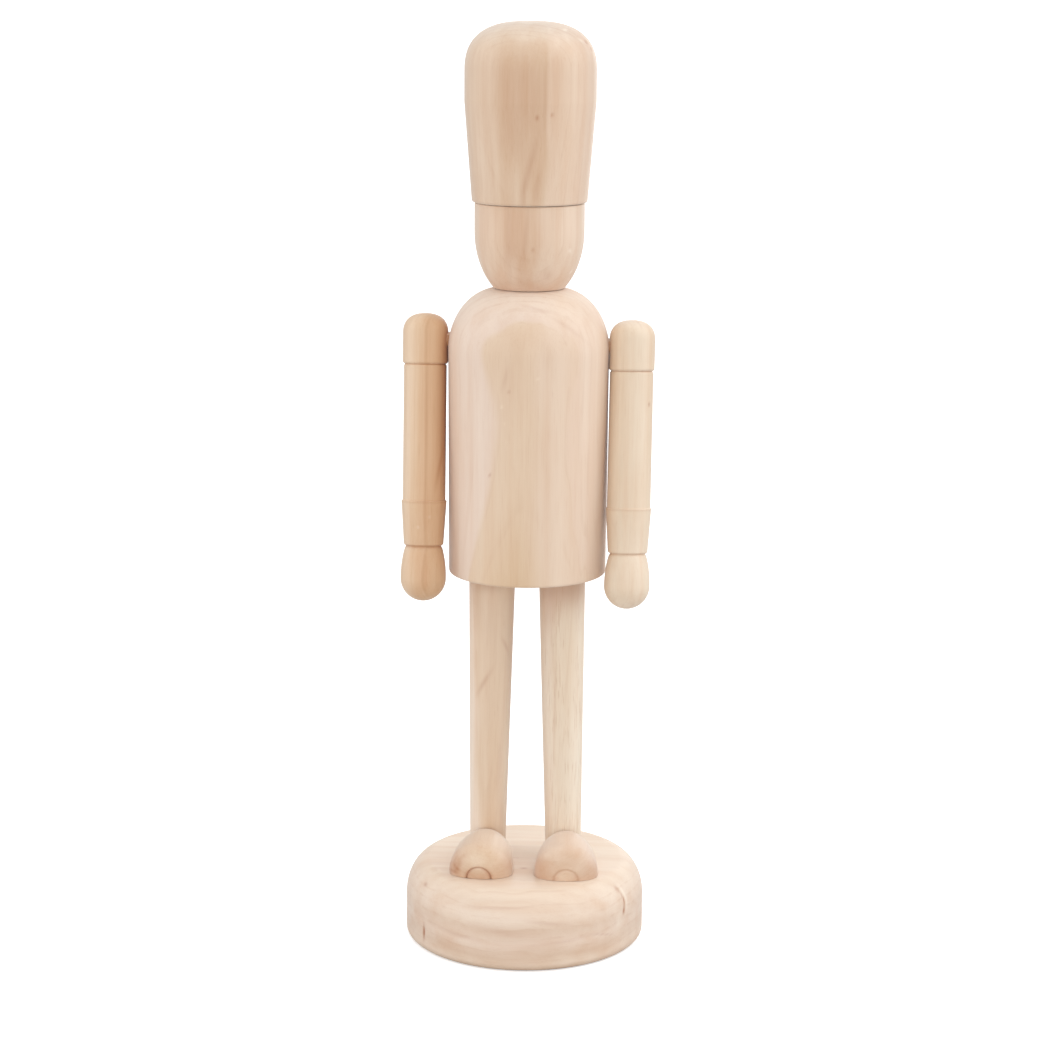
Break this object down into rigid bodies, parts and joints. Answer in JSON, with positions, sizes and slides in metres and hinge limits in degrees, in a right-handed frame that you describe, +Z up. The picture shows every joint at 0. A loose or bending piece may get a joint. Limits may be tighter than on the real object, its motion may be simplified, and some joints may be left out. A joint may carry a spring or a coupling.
{
  "type": "wooden nutcracker figure",
  "caption": "Unpainted turned-wood nutcracker soldier with a tall rounded hat and plain head, arms that turn on shoulder pegs, tapered legs and a thick round base.",
  "frame": {"origin": "middle of the base's underside, on the surface the figure stands on", "axes": "+Z up through the figure, the figure faces -Y, +X towards the figure's own left arm"},
  "size_m": [0.0818, 0.079, 0.3],
  "materials": {
    "base_wood": "bare sanded hardwood, grain across the base",
    "body_wood": "bare sanded hardwood, upright grain",
    "head_wood": "bare sanded hardwood, upright grain",
    "hat_wood": "bare sanded hardwood, upright grain",
    "leg_wood": "bare sanded hardwood, lengthwise grain",
    "foot_wood": "bare sanded hardwood",
    "pale_arm_wood": "bare sanded hardwood, lengthwise grain",
    "tan_arm_wood": "bare sanded hardwood, lengthwise grain",
    "dowel_wood": "plain dowel rod",
    "screw_steel": "zinc plated"
  },
  "bodies": {
    "figure": {"base": "base_wood", "body": "body_wood", "head": "head_wood", "hat": "hat_wood", "left_leg": "leg_wood", "right_leg": "leg_wood", "left_foot": "foot_wood", "right_foot": "foot_wood", "neck_dowel": "dowel_wood", "hat_dowel": "dowel_wood", "left_hip_dowel": "dowel_wood", "right_hip_dowel": "dowel_wood", "left_foot_dowel": "dowel_wood", "right_foot_dowel": "dowel_wood", "left_shoulder_peg": "dowel_wood", "right_shoulder_peg": "dowel_wood", "left_leg_screw": "screw_steel", "right_leg_screw": "screw_steel"},
    "left_arm": {"left_arm": "pale_arm_wood"},
    "right_arm": {"right_arm": "tan_arm_wood"}
  },
  "joints": [
    {"name": "left_shoulder", "type": "hinge", "parent": "figure", "child": "left_arm", "pos_m": [0.0335, 0.003, 0.1975], "axis": [-1, 0, 0], "continuous": true},
    {"name": "right_shoulder", "type": "hinge", "parent": "figure", "child": "right_arm", "pos_m": [-0.0335, 0.003, 0.1988], "axis": [-1, 0, 0], "continuous": true}
  ]
}
